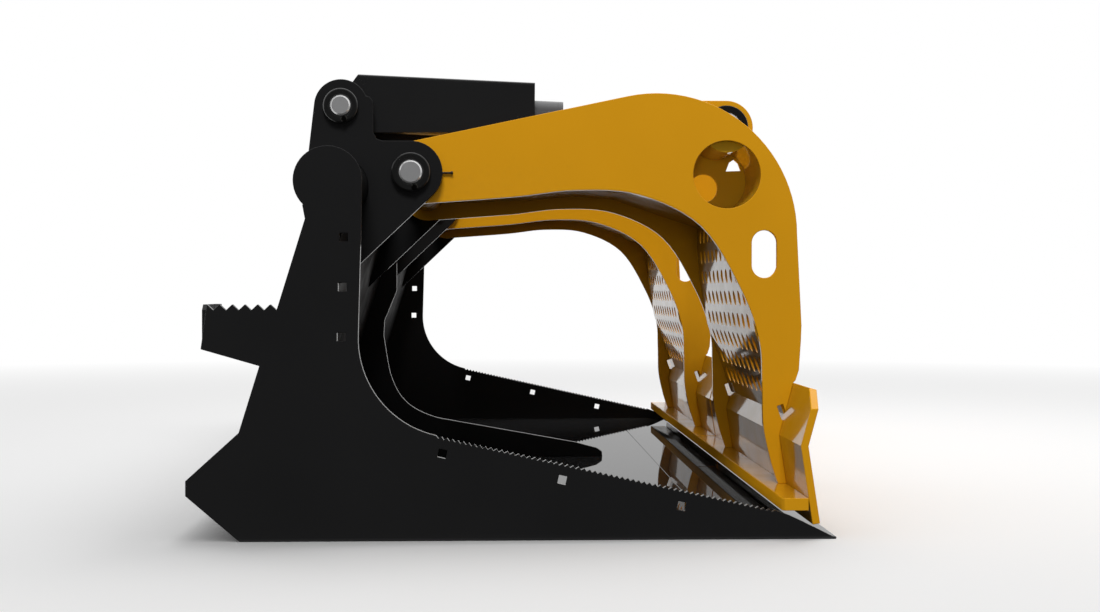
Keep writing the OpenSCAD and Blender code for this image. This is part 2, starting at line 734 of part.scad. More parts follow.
// Lugs for the rod pin, standing on the belly sheet
lug_r = 47;
lug_toe = belly_top[3] + 130 * unit(belly_top[4] - belly_top[3]);
module rod_lug(a) {
    inward(a, a + arm_t) difference() {
        union() {
            hole(rod_pin, lug_r);
            polygon([rod_pin + [0, lug_r], rod_pin + [-76, lug_r], [belly_top[3][0] + 2, port_z + 40],
                belly_top[3], lug_toe, polar(rod_pin, lug_r, -25), rod_pin]);
        }
        hole(rod_pin, rod_ring_d / 2);
        port_section(port_od / 2, 0);
    }
}
module rod_lugs() {
    color(arm_yellow) {
        rod_lug(lug_near_in);
        rod_lug(lug_far_in);
    }
}
module pivot_tube() {
    color(arm_yellow) ring(pivot, pivot_ring_d, pivot_ring_d - 14, arm_in, arm_in + arm_w);
}
bush_proud = 6;
module bushes() {
    color([0.09, 0.09, 0.09]) {
        ring(rod_pin, rod_ring_d, rod_pin_d + 2 * fit, lug_near_in - bush_proud, lug_near_in + arm_t + 1);
        ring(rod_pin, rod_ring_d, rod_pin_d + 2 * fit, lug_far_in - 1, lug_far_in + arm_t + bush_proud);
        ring(pivot, pivot_ring_d - 14, pivot_pin_d + 2 * fit, arm_in, arm_in + bush_l);
        ring(pivot, pivot_ring_d - 14, pivot_pin_d + 2 * fit, arm_in + arm_w - bush_l, arm_in + arm_w);
    }
}
module rod_pin_shaft() {
    color([0.75, 0.75, 0.76])
        shaft(rod_pin, rod_pin_d, lug_near_in - bush_proud - pin_proud, lug_far_in + arm_t + bush_proud + pin_proud);
}

// Blade and lower bar across the mouth of each arm
blade_outer_in = 1;
blade_inner_in = half_w - blade_gap / 2;
module blade_profile() {
    polygon(sheet(reversed(blade_path), -blade_t));
}
module blade() {
    color(arm_yellow) difference() {
        inward(blade_outer_in, blade_inner_in) blade_profile();
        translate([x_tip - 150, -half_w + blade_outer_in, 0]) rotate([90, 0, 90]) linear_extrude(200)
            polygon([[-5, blade_top - clip_h], [0, blade_top - clip_h], [clip_w, blade_top], [clip_w, blade_top + 30],
                [-5, blade_top + 30]]);
        translate([x_tip - 150, -half_w + blade_inner_in, 0]) rotate([90, 0, 90]) linear_extrude(200)
            polygon([[5, blade_top - clip_h], [0, blade_top - clip_h], [-clip_w, blade_top], [-clip_w, blade_top + 30],
                [5, blade_top + 30]]);
    }
}
module lower_bar() {
    bar_front = arm_foot[0];
    a = [bar_front - bar_d + bar_tooth, blade_outer_in - half_w];
    b = [bar_front - bar_d + bar_tooth, blade_inner_in - half_w];
    color(arm_yellow) translate([0, 0, bar_z]) linear_extrude(bar_h)
        polygon(concat([[bar_front, a[1]]], teeth(a, b, bar_pitch, bar_tooth), [b, [bar_front, b[1]]]));
}

// Hydraulic cylinder, drawn along its own X from the base pin
eye_r = 35;
barrel_start = 52;
piston_at = barrel_l - 80;
neck_r = rod_d / 2;
rod_eye_r = 40;
module turned(r, a, b) {
    translate([a, 0, 0]) rotate([0, 90, 0]) cylinder(r = r, h = b - a);
}
module eye(r, bore) {
    rotate([90, 0, 0]) difference() {
        cylinder(r = r, h = eye_w, center = true);
        cylinder(r = bore, h = eye_w + 2, center = true);
    }
}
module barrel() {
    color([0.16, 0.16, 0.16]) on_cylinder() {
        eye(eye_r, base_pin_d / 2 + fit);
        difference() {
            union() {
                turned(eye_w / 2 - 2, eye_r - 8, barrel_start);
                turned(barrel_od / 2, barrel_start - 12, barrel_l);
            }
            turned(barrel_id / 2, barrel_start, barrel_l + 1);
            rotate([90, 0, 0]) cylinder(r = eye_r - 1, h = barrel_od, center = true);
        }
    }
}
gland_lip = 9;
module gland() {
    color([0.2, 0.2, 0.2]) on_cylinder() difference() {
        union() {
            turned(barrel_id / 2, barrel_l - 42, barrel_l);
            turned(barrel_od / 2, barrel_l, barrel_l + gland_lip);
        }
        turned(rod_d / 2 + fit, barrel_l - 60, barrel_l + 20);
    }
}
module rod() {
    color([0.75, 0.75, 0.76]) on_cylinder() turned(rod_d / 2, piston_at, cyl_l - rod_eye_r - 12 - gap);
}
module piston() {
    color([0.3, 0.3, 0.3]) on_cylinder() difference() {
        turned(barrel_id / 2 - fit, piston_at, piston_at + piston_l);
        turned(rod_d / 2, piston_at - 1, piston_at + piston_l + 1);
    }
}
module rod_eye() {
    color([0.16, 0.16, 0.16]) on_cylinder() translate([cyl_l, 0, 0]) {
        eye(rod_eye_r, rod_pin_d / 2 + fit);
        difference() {
            turned(neck_r, -rod_eye_r - 12, -rod_eye_r + 6);
            rotate([90, 0, 0]) cylinder(r = rod_eye_r - 1, h = rod_d + 2, center = true);
        }
    }
}
port_at = [74, barrel_l - 74];
port_top = 49;
module ports() {
    color([0.25, 0.25, 0.25]) on_cylinder() for (u = port_at)
        difference() {
            translate([u, 0, 20]) cylinder(r = 14, h = port_top - 20);
            translate([u, 0, 0]) cylinder(r = 7, h = port_top + 1);
            turned(barrel_od / 2, u - 20, u + 20);
        }
}

// Cover over the barrel: two cheeks, a roof and two saddles
guard_end = 333;
guard_top = 61;
guard_low = [-41, -58];
module guard_cheek(low) {
    difference() {
        polygon([[11, low], [11, 41], [24, guard_top], [guard_end - 2, guard_top], [guard_end + 1, low + 15]]);
        circle(r = 28);
    }
}
module guard() {
    y_out = guard_w / 2;
    color([0.1, 0.1, 0.1]) on_cylinder() {
        for (i = [0, 1])
            translate([0, (2 * i - 1) * (y_out - guard_t / 2) + guard_t / 2, 0]) rotate([90, 0, 0])
                linear_extrude(guard_t) guard_cheek(guard_low[i]);
        translate([24, guard_t - y_out, guard_top - guard_t])
            cube([guard_end - 26, guard_w - 2 * guard_t, guard_t]);
        for (u = [120, port_at[1] - 30]) difference() {
            translate([u, guard_t - y_out, -26]) cube([8, guard_w - 2 * guard_t, guard_top - guard_t + 26]);
            turned(barrel_od / 2, u - 1, u + 9);
        }
    }
}

module right_outer_plate() { outer_plate(); }
module right_inner_plate() { inner_plate(); }
module right_web_plate() { web_plate(); }
module right_belly_sheet() { belly_sheet(); }
module right_screen() { screen(); }
module right_port_tube() { port_tube(); }
module right_rod_lugs() { rod_lugs(); }
module right_pivot_tube() { pivot_tube(); }
module right_bushes() { bushes(); }
module right_rod_pin() { rod_pin_shaft(); }
module right_blade() { blade(); }
module right_lower_bar() { lower_bar(); }
module right_barrel() { barrel(); }
module right_gland() { gland(); }
module right_ports() { ports(); }
module right_guard() { guard(); }
module right_rod() { rod(); }
module right_piston() { piston(); }
module right_rod_eye() { rod_eye(); }

module left_outer_plate() { left_copy() outer_plate(); }
module left_inner_plate() { left_copy() inner_plate(); }
module left_web_plate() { left_copy() web_plate(); }
module left_belly_sheet() { left_copy() belly_sheet(); }
module left_screen() { left_copy() screen(); }
module left_port_tube() { left_copy() port_tube(); }
module left_rod_lugs() { left_copy() rod_lugs(); }
module left_pivot_tube() { left_copy() pivot_tube(); }
module left_bushes() { left_copy() bushes(); }
module left_rod_pin() { left_copy() rod_pin_shaft(); }
module left_blade() { left_copy() blade(); }
module left_lower_bar() { left_copy() lower_bar(); }
module left_barrel() { left_copy() barrel(); }
module left_gland() { left_copy() gland(); }
module left_ports() { left_copy() ports(); }
module left_guard() { left_copy() guard(); }
module left_rod() { left_copy() rod(); }
module left_piston() { left_copy() piston(); }
module left_rod_eye() { left_copy() rod_eye(); }

right_side_plate();
left_side_plate();
floor_sheet();
back_sheet();
heel_sheet();
cutting_edge();
wear_strips();
centre_rib();
cross_tube();
tower_plate_1();
tower_plate_2();
tower_plate_3();
tower_plate_4();
base_lugs();
coupler_plate();
coupler_hook();
coupler_ribs();
pivot_pins();
base_pins();
pin_rings();
pin_spacers();
lock_bolts();
right_outer_plate();
right_inner_plate();
right_web_plate();
right_belly_sheet();
right_screen();
right_port_tube();
right_rod_lugs();
right_pivot_tube();
right_bushes();
right_rod_pin();
right_blade();
right_lower_bar();
left_outer_plate();
left_inner_plate();
left_web_plate();
left_belly_sheet();
left_screen();
left_port_tube();
left_rod_lugs();
left_pivot_tube();
left_bushes();
left_rod_pin();
left_blade();
left_lower_bar();
right_barrel();
right_gland();
right_ports();
right_guard();
right_rod();
right_piston();
right_rod_eye();
left_barrel();
left_gland();
left_ports();
left_guard();
left_rod();
left_piston();
left_rod_eye();
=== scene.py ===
"""Looks of a grapple bucket: finishes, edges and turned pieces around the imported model."""

import json
import logging
import math
from collections.abc import Callable
from dataclasses import dataclass
from enum import Enum

import bmesh
import bpy
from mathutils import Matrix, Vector

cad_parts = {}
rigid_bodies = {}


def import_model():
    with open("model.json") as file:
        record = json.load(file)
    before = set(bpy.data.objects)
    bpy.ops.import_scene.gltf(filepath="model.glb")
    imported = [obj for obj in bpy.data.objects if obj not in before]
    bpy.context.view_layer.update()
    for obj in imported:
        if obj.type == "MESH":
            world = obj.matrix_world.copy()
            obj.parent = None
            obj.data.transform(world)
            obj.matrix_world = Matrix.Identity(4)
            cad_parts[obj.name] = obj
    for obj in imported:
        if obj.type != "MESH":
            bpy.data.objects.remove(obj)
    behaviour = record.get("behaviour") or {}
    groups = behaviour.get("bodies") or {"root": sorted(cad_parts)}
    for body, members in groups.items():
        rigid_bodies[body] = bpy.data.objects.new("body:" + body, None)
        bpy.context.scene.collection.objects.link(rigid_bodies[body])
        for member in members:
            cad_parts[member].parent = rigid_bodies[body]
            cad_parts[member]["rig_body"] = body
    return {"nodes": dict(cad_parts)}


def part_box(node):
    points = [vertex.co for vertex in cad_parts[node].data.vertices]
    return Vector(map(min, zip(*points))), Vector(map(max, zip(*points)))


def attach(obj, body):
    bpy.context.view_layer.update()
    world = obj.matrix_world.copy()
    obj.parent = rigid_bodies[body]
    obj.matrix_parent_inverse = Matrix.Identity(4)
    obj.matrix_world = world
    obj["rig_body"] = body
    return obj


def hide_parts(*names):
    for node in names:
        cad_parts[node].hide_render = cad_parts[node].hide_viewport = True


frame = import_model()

LOG = logging.getLogger("grapple_bucket")
MM = 0.001
FOLD_STEPS = 5
Color = tuple[float, float, float]
Point = tuple[float, float, float]
WHITE = (1.0, 1.0, 1.0, 1.0)
DUST_COLOR = (0.42, 0.40, 0.37, 1.0)
MERGE_DISTANCE = 3e-6
FLAT_DEGREES = 0.6


class Side(Enum):
    """The two halves of the bucket, by the operator's hand."""

    RIGHT = "right"
    LEFT = "left"


class Wiring:
    """Short calls for building a node tree."""

    def __init__(self, tree: bpy.types.NodeTree) -> None:
        """Start on a tree.

        Args:
            tree: the node tree to build in.
        """
        self.tree = tree

    def add(self, kind: str, inputs: dict | None = None, **settings) -> bpy.types.Node:
        """Add a node.

        Args:
            kind: the node's type name.
            inputs: values or output sockets for its inputs, by name or index.
            settings: properties of the node itself.

        Returns:
            The new node.
        """
        node = self.tree.nodes.new(kind)
        for key, value in settings.items():
            setattr(node, key, value)
        for key, value in (inputs or {}).items():
            if isinstance(value, bpy.types.NodeSocket):
                self.tree.links.new(value, node.inputs[key])
            else:
                node.inputs[key].default_value = value
        return node

    def noise(self, vector: bpy.types.NodeSocket, scale: float, detail: float = 3.0) -> bpy.types.NodeSocket:
        """Add a noise texture and return its factor.

        Args:
            vector: coordinates.
            scale: cells per metre.
            detail: octaves.

        Returns:
            The factor socket.
        """
        node = self.add("ShaderNodeTexNoise", {"Vector": vector, "Scale": scale, "Detail": detail})
        return node.outputs["Fac"]

    def math(
        self, operation: str, first: bpy.types.NodeSocket, second: bpy.types.NodeSocket | float | None = None
    ) -> bpy.types.NodeSocket:
        """Add a math node and return its value.

        Args:
            operation: the node's operation.
            first: the first value.
            second: the second value, if it takes one.

        Returns:
            The value socket.
        """
        inputs = {0: first} if second is None else {0: first, 1: second}
        return self.add("ShaderNodeMath", inputs, operation=operation).outputs[0]

    def span(
        self, value: bpy.types.NodeSocket, low: float, high: float, start: float, stop: float
    ) -> bpy.types.NodeSocket:
        """Map a value from one range to another, clamped.

        Args:
            value: the socket to map.
            low: start of the input range.
            high: end of the input range.
            start: result at low.
            stop: result at high.

        Returns:
            The result socket.
        """
        node = self.add(
            "ShaderNodeMapRange",
            {"Value": value, "From Min": low, "From Max": high, "To Min": start, "To Max": stop},
        )
        return node.outputs["Result"]


@dataclass(frozen=True)
class Finish:
    """A surface finish: colour, gloss and the fine relief of its coat."""

    name: str
    slot: str
    color: Color
    roughness: float = 0.3
    metallic: float = 0.0
    specular: float = 0.5
    coat: float = 0.0
    coat_roughness: float = 0.05
    relief_scale: float = 700.0
    relief: float = 0.0
    shade: float = 0.06
    dust: float = 0.0

    def material(self) -> bpy.types.Material:
        """Return the material, made once."""
        found = bpy.data.materials.get(self.name)
        return found or self._build()

    def _build(self) -> bpy.types.Material:
        """Build the node tree.

        Returns:
            The material.
        """
        material = bpy.data.materials.new(self.name)
        material.use_nodes = True
        material.diffuse_color = (*self.color, 1.0)
        wiring = Wiring(material.node_tree)
        shader = material.node_tree.nodes["Principled BSDF"]
        place = wiring.add("ShaderNodeTexCoord").outputs["Object"]
        shader.inputs["Metallic"].default_value = self.metallic
        shader.inputs["Specular IOR Level"].default_value = self.specular
        shader.inputs["Coat Weight"].default_value = self.coat
        shader.inputs["Coat Roughness"].default_value = self.coat_roughness
        wiring.tree.links.new(self._tint(wiring, place), shader.inputs["Base Color"])
        wiring.tree.links.new(self._gloss(wiring, place), shader.inputs["Roughness"])
        relief = self._relief(wiring, place)
        if relief is not None:
            wiring.tree.links.new(relief, shader.inputs["Normal"])
            wiring.tree.links.new(relief, shader.inputs["Coat Normal"])
        return material

    def _tint(self, wiring: Wiring, place: bpy.types.NodeSocket) -> bpy.types.NodeSocket:
        """Colour with broad, faint variation and a little dust on faces that look up.

        Args:
            wiring: the tree's builder.
            place: object coordinates.

        Returns:
            The colour socket.
        """
        broad = wiring.span(wiring.noise(place, 5.0), 0.3, 0.7, 1.0 - self.shade, 1.0 + self.shade)
        scaled = wiring.add("ShaderNodeVectorMath", {0: self.color, "Scale": broad}, operation="SCALE")
        color = scaled.outputs["Vector"]
        if self.dust <= 0:
            return color
        normal = wiring.add("ShaderNodeNewGeometry").outputs["Normal"]
        up = wiring.add("ShaderNodeSeparateXYZ", {"Vector": normal}).outputs["Z"]
        patches = wiring.span(wiring.noise(place, 38.0, 6.0), 0.42, 0.75, 0.15, 1.0)
        level = wiring.span(up, 0.5, 1.0, 0.0, self.dust)
        amount = wiring.math("MULTIPLY", patches, level)
        mix = wiring.add(
            "ShaderNodeMix", {"Factor": amount, 6: color, 7: DUST_COLOR}, data_type="RGBA"
        )
        return mix.outputs[2]

    def _gloss(self, wiring: Wiring, place: bpy.types.NodeSocket) -> bpy.types.NodeSocket:
        """Roughness with faint cloudy variation.

        Args:
            wiring: the tree's builder.
            place: object coordinates.

        Returns:
            The roughness socket.
        """
        cloud = wiring.noise(place, 14.0, 5.0)
        return wiring.span(cloud, 0.3, 0.7, self.roughness * 0.82, self.roughness * 1.2)

    def _relief(self, wiring: Wiring, place: bpy.types.NodeSocket) -> bpy.types.NodeSocket | None:
        """Fine relief of the finish, such as a coat's orange peel.

        Args:
            wiring: the tree's builder.
            place: object coordinates.

        Returns:
            The normal socket, or None for a smooth finish.
        """
        if self.relief <= 0:
            return None
        height = wiring.noise(place, self.relief_scale, 1.0)
        bump = wiring.add("ShaderNodeBump", {"Height": height, "Strength": 1.0, "Distance": self.relief})
        return bump.outputs["Normal"]


@dataclass(frozen=True)
class TurnedFinish(Finish):
    """A lathe-turned face: fine rings around an axis that runs across the bucket."""

    centre: Point = (0.0, 0.0, 0.0)
    ring_pitch: float = 0.0007

    def _relief(self, wiring: Wiring, place: bpy.types.NodeSocket) -> bpy.types.NodeSocket:
        """Rings around the centre line.

        Args:
            wiring: the tree's builder.
            place: object coordinates.

        Returns:
            The normal socket.
        """
        moved = wiring.add("ShaderNodeVectorMath", {0: place, 1: self.centre}, operation="SUBTRACT")
        flat = wiring.add(
            "ShaderNodeVectorMath", {0: moved.outputs["Vector"], 1: (1.0, 0.0, 1.0)}, operation="MULTIPLY"
        )
        radius = wiring.add("ShaderNodeVectorMath", {0: flat.outputs["Vector"]}, operation="LENGTH")
        turn = 2 * math.pi / self.ring_pitch
        phase = wiring.math("MULTIPLY", radius.outputs["Value"], turn)
        wave = wiring.math("SINE", phase)
        bump = wiring.add(
            "ShaderNodeBump", {"Height": wave, "Strength": 0.5, "Distance": self.relief}
        )
        return bump.outputs["Normal"]


BLACK_COAT = Finish(
    "black_powder_coat", "black_coat", (0.0105, 0.0105, 0.0108),
    roughness=0.4, specular=0.1, coat=0.45, coat_roughness=0.03,
    relief_scale=420.0, relief=0.000006, dust=0.01,
)
DULL_BLACK = Finish(
    "black_powder_coat_dull", "black_coat", (0.0105, 0.0105, 0.0108),
    roughness=0.6, specular=0.03, coat=0.02, coat_roughness=0.3,
    relief_scale=420.0, relief=0.000006, dust=0.01,
)
FLOOR_COAT = Finish(
    "floor_gloss_coat", "black_coat", (0.0105, 0.0105, 0.0108),
    roughness=0.5, specular=0.0, coat=0.6, coat_roughness=0.012,
    relief_scale=420.0, relief=0.000001,
)
GLOSS_BLACK = Finish(
    "black_powder_coat_gloss", "black_coat", (0.0105, 0.0105, 0.0108),
    roughness=0.3, specular=0.45, coat=1.0, coat_roughness=0.06,
    relief_scale=420.0, relief=0.000004, dust=0.01,
)
YELLOW_COAT = Finish(
    "yellow_gloss_paint", "yellow_coat", (0.56, 0.258, 0.005),
    roughness=0.42, specular=0.15, coat=0.8, coat_roughness=0.05,
    relief_scale=420.0, relief=0.000008, shade=0.03, dust=0.01,
)
# A lighter copy of the yellow paint for the web plates and port tubes: painted light that brightens the
# shaded inside of the arms.
YELLOW_PAINTED_LIGHT = Finish(
    "yellow_paint_with_painted_light", "yellow_coat", (0.6, 0.34, 0.012),
    roughness=0.42, specular=0.15, coat=0.8, coat_roughness=0.05,
    relief_scale=420.0, relief=0.000008, shade=0.03, dust=0.01,
)
WEAR_STEEL = Finish(
    "cutting_edge_coat", "wear_steel", (0.013, 0.0125, 0.012),
    roughness=0.5, specular=0.0, coat=0.6, coat_roughness=0.012,
    relief_scale=420.0, relief=0.000001, shade=0.12,
)
RING_COAT = Finish(
    "ring_black_paint", "ring_coat", (0.008, 0.008, 0.008),
    roughness=0.3, specular=0.6, coat=1.0, coat_roughness=0.12,
    relief_scale=900.0, relief=0.00001,
)
CYLINDER_COAT = Finish(
    "cylinder_paint", "cylinder_coat", (0.06, 0.06, 0.062),
    roughness=0.3, specular=0.5, coat=0.3, coat_roughness=0.08,
    relief_scale=600.0, relief=0.000015,
)
ROD_CHROME = Finish(
    "rod_hard_chrome", "rod_chrome", (0.62, 0.62, 0.63),
    roughness=0.2, metallic=0.3, relief_scale=2500.0, relief=0.000002, shade=0.02,
)
# Brighter steel for the pins' end chamfers: a painted highlight that makes each end's rim read white.
PIN_CHAMFER_PAINTED_HIGHLIGHT = Finish(
    "pin_chamfer_painted_highlight", "pin_steel", (0.9, 0.9, 0.9),
    roughness=0.22, metallic=0.7, relief_scale=2500.0, relief=0.000002, shade=0.02,
)
WASHER_STEEL = Finish(
    "machined_steel", "washer_steel", (0.32, 0.32, 0.325),
    roughness=0.34, metallic=1.0, relief_scale=2000.0, relief=0.000006,
)
BOLT_ZINC = Finish(
    "bolt_dark_zinc", "bolt_zinc", (0.09, 0.088, 0.08),
    roughness=0.3, metallic=1.0, relief_scale=1500.0, relief=0.000006,
)


def pin_finish(name: str, x: float, z: float) -> TurnedFinish:
    """The turned end faces of the pins on one axis.

    Args:
        name: the material's name.
        x: the axis's X in metres.
        z: the axis's Z in metres.

    Returns:
        The finish.
    """
    return TurnedFinish(
        name, "pin_steel", (0.3, 0.3, 0.303), roughness=0.35, metallic=0.35,
        relief=0.00002, shade=0.03, centre=(x, 0.0, z),
    )


def dress(piece: bpy.types.Object, finish: Finish) -> bpy.types.Object:
    """Give a piece one finish all over.

    Args:
        piece: the object.
        finish: its finish.

    Returns:
        The same object.
    """
    piece.data.materials.clear()
    piece.data.materials.append(finish.material())
    return piece


def link_mesh(name: str, mesh: bpy.types.Mesh) -> bpy.types.Object:
    """Put a mesh into the scene as an object at the origin.

    Args:
        name: the object's name.
        mesh: its mesh.

    Returns:
        The object.
    """
    piece = bpy.data.objects.new(name, mesh)
    bpy.context.scene.collection.objects.link(piece)
    return piece


def baked(piece: bpy.types.Object) -> bpy.types.Object:
    """Turn a piece's modifiers into a plain mesh.

    Args:
        piece: an object with live modifiers.

    Returns:
        The same object without modifiers.
    """
    depsgraph = bpy.context.evaluated_depsgraph_get()
    mesh = bpy.data.meshes.new_from_object(piece.evaluated_get(depsgraph), depsgraph=depsgraph)
    piece.modifiers.clear()
    old = piece.data
    piece.data = mesh
    bpy.data.meshes.remove(old)
    return piece


def smooth(piece: bpy.types.Object, degrees: float = 32.0) -> None:
    """Smooth the shading except across sharp edges.

    Args:
        piece: the object.
        degrees: edges sharper than this stay sharp.
    """
    piece.data.shade_smooth()
    piece.data.set_sharp_from_angle(angle=math.radians(degrees))


def eased(
    node: str,
    width: float,
    segments: int = 2,
    degrees: float = 34.0,
    fold: Callable[[bmesh.types.BMEdge], bool] | None = None,
    fold_radius: float = 0.0,
    trim: tuple[Point, Point] | None = None,
) -> bpy.types.Object:
    """Copy a CAD node with its sharp edges eased, as a plate's are before painting.

    Args:
        node: the node's name.
        width: the width of the easing in metres.
        segments: steps across it.
        degrees: only edges sharper than this are eased.
        fold: picks the edges that are folds rather than cuts.
        fold_radius: outer radius of those folds in metres.
        trim: a point and an outward normal of a plane past which the piece is cut away.

    Returns:
        A piece that replaces the node and rides on its body.
    """
    source = frame["nodes"][node]
    mesh = source.data.copy()
    build = bmesh.new()
    build.from_mesh(mesh)
    bmesh.ops.remove_doubles(build, verts=build.verts, dist=MERGE_DISTANCE)
    bmesh.ops.dissolve_limit(
        build,
        angle_limit=math.radians(FLAT_DEGREES),
        use_dissolve_boundaries=False,
        verts=build.verts,
        edges=build.edges,
    )
    if trim is not None:
        everything = [*build.verts, *build.edges, *build.faces]
        cut = bmesh.ops.bisect_plane(
            build, geom=everything, plane_co=trim[0], plane_no=trim[1], clear_outer=True
        )
        rim = [item for item in cut["geom_cut"] if isinstance(item, bmesh.types.BMEdge)]
        bmesh.ops.contextual_create(build, geom=rim)
    if fold is not None:
        folds = [edge for edge in build.edges if fold(edge)]
        bmesh.ops.bevel(
            build, geom=folds, offset=fold_radius, segments=FOLD_STEPS, profile=0.5, affect="EDGES"
        )
    build.to_mesh(mesh)
    build.free()
    piece = link_mesh(node + "_eased", mesh)
    smooth(piece, degrees)
    bevel = piece.modifiers.new("easing", "BEVEL")
    bevel.width = width
    bevel.segments = segments
    bevel.limit_method = "ANGLE"
    bevel.angle_limit = math.radians(degrees)
    bevel.use_clamp_overlap = True
    flats = piece.modifiers.new("flat faces", "WEIGHTED_NORMAL")
    flats.keep_sharp = True
    baked(piece)
    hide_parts(node)
    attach(piece, source["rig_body"])
    return piece


def lathe(
    build: bmesh.types.BMesh, profile: list[tuple[float, float]], x: float, z: float, steps: int = 72
) -> None:
    """Add a closed turned shape around an axis that runs along Y.

    Args:
        build: the mesh being built.
        profile: points (y, radius) from one end's centre to the other's, the two ends on the axis.
        x: the axis's X.
        z: the axis's Z.
        steps: faces around.
    """
    rings = []
    for y, radius in profile:
        if radius <= 0:
            rings.append([build.verts.new((x, y, z))])
            continue
        angles = [2 * math.pi * i / steps for i in range(steps)]
        ring = [(x + radius * math.cos(a), y, z + radius * math.sin(a)) for a in angles]
        rings.append([build.verts.new(place) for place in ring])
    for low, high in zip(rings, rings[1:]):
        for i in range(steps):
            j = (i + 1) % steps
            if len(low) == 1:
                build.faces.new((low[0], high[j], high[i]))
            elif len(high) == 1:
                build.faces.new((low[i], low[j], high[0]))
            else:
                build.faces.new((low[i], low[j], high[j], high[i]))


def finished_mesh(name: str, build: bmesh.types.BMesh) -> bpy.types.Object:
    """Close a mesh under construction and put it into the scene.

    Args:
        name: the object's name.
        build: the mesh being built.

    Returns:
        The object, smooth-shaded.
    """
    bmesh.ops.recalc_face_normals(build, faces=build.faces)
    mesh = bpy.data.meshes.new(name)
    build.to_mesh(mesh)
    build.free()
    piece = link_mesh(name, mesh)
    smooth(piece)
    return piece


@dataclass
class PlateWork:
    """Nodes that are cut and bent from plate: each gets eased edges and its finish."""

    easing: float = 1.2 * MM
    fine_easing: float = 0.7 * MM
    guard_radius: float = 6.0 * MM
    rib_radius: float = 27.0 * MM
    web_point: Point = (0.440, 0.0, 0.515)
    web_normal: Point = (0.969, 0.0, -0.247)
    rib_turn: tuple[Point, Point] = ((-0.275, 0.0, 0.1), (-0.17, 0.0, 0.2))
    roof_length: float = 0.3
    roof_height: float = 0.76
    dull: tuple[str, ...] = ("back_sheet", "cross_tube")
    black: tuple[str, ...] = (
        "heel_sheet",
        "tower_plate_1", "tower_plate_2", "tower_plate_3", "tower_plate_4", "base_lugs",
        "coupler_plate", "coupler_hook", "coupler_ribs",
    )
    toothed: tuple[str, ...] = ("right_side_plate", "left_side_plate")
    arm_plates: tuple[str, ...] = (
        "outer_plate", "inner_plate", "belly_sheet", "rod_lugs", "pivot_tube", "blade",
    )

    def build(self) -> list[bpy.types.Object]:
        """Make every plate piece.

        Returns:
            The pieces.
        """
        pieces = [dress(eased(node, self.easing), BLACK_COAT) for node in self.black]
        pieces += [dress(eased(node, self.easing), DULL_BLACK) for node in self.dull]
        pieces += [dress(eased(node, self.fine_easing), BLACK_COAT) for node in self.toothed]
        rib = eased("centre_rib", self.easing, fold=self.rib_corner, fold_radius=self.rib_radius)
        pieces += [dress(rib, BLACK_COAT)]
        pieces += [dress(eased("floor_sheet", self.easing), FLOOR_COAT)]
        pieces += [dress(eased("cutting_edge", self.easing), WEAR_STEEL)]
        pieces += [dress(eased("wear_strips", self.easing), WEAR_STEEL)]
        for side in Side:
            web = eased(f"{side.value}_web_plate", self.easing, trim=(self.web_point, self.web_normal))
            # Web plates and port tubes take the lighter yellow: painted light in the arms' shaded inside.
            pieces.append(dress(web, YELLOW_PAINTED_LIGHT))
            pieces.append(dress(eased(f"{side.value}_port_tube", self.easing), YELLOW_PAINTED_LIGHT))
            for part in self.arm_plates:
                pieces.append(dress(eased(f"{side.value}_{part}", self.easing), YELLOW_COAT))
            pieces.append(dress(eased(f"{side.value}_lower_bar", self.fine_easing), YELLOW_COAT))
            pieces.append(dress(eased(f"{side.value}_screen", self.fine_easing), YELLOW_COAT))
            guard = eased(
                f"{side.value}_guard", self.easing, fold=self.guard_fold, fold_radius=self.guard_radius
            )
            pieces.append(dress(guard, GLOSS_BLACK))
        return pieces

    def rib_corner(self, edge: bmesh.types.BMEdge) -> bool:
        """Tell whether an edge is one of the corners where the rib's front edge turns forwards.

        Args:
            edge: an edge of the rib.

        Returns:
            True for the three corners of the turn.
        """
        start, stop = (vertex.co for vertex in edge.verts)
        low, high = self.rib_turn
        across = abs(start.x - stop.x) < 1e-5 and abs(start.z - stop.z) < 1e-5
        return across and low[0] < start.x < high[0] and low[2] < start.z < high[2]

    def guard_fold(self, edge: bmesh.types.BMEdge) -> bool:
        """Tell whether an edge is one of the cover's long outer folds.

        Args:
            edge: an edge of the cover.

        Returns:
            True for the two long folds along the roof.
        """
        low, high = sorted((vertex.co for vertex in edge.verts), key=lambda place: place.x)
        return len(edge.link_faces) == 2 and high.x - low.x > self.roof_length and low.z > self.roof_height


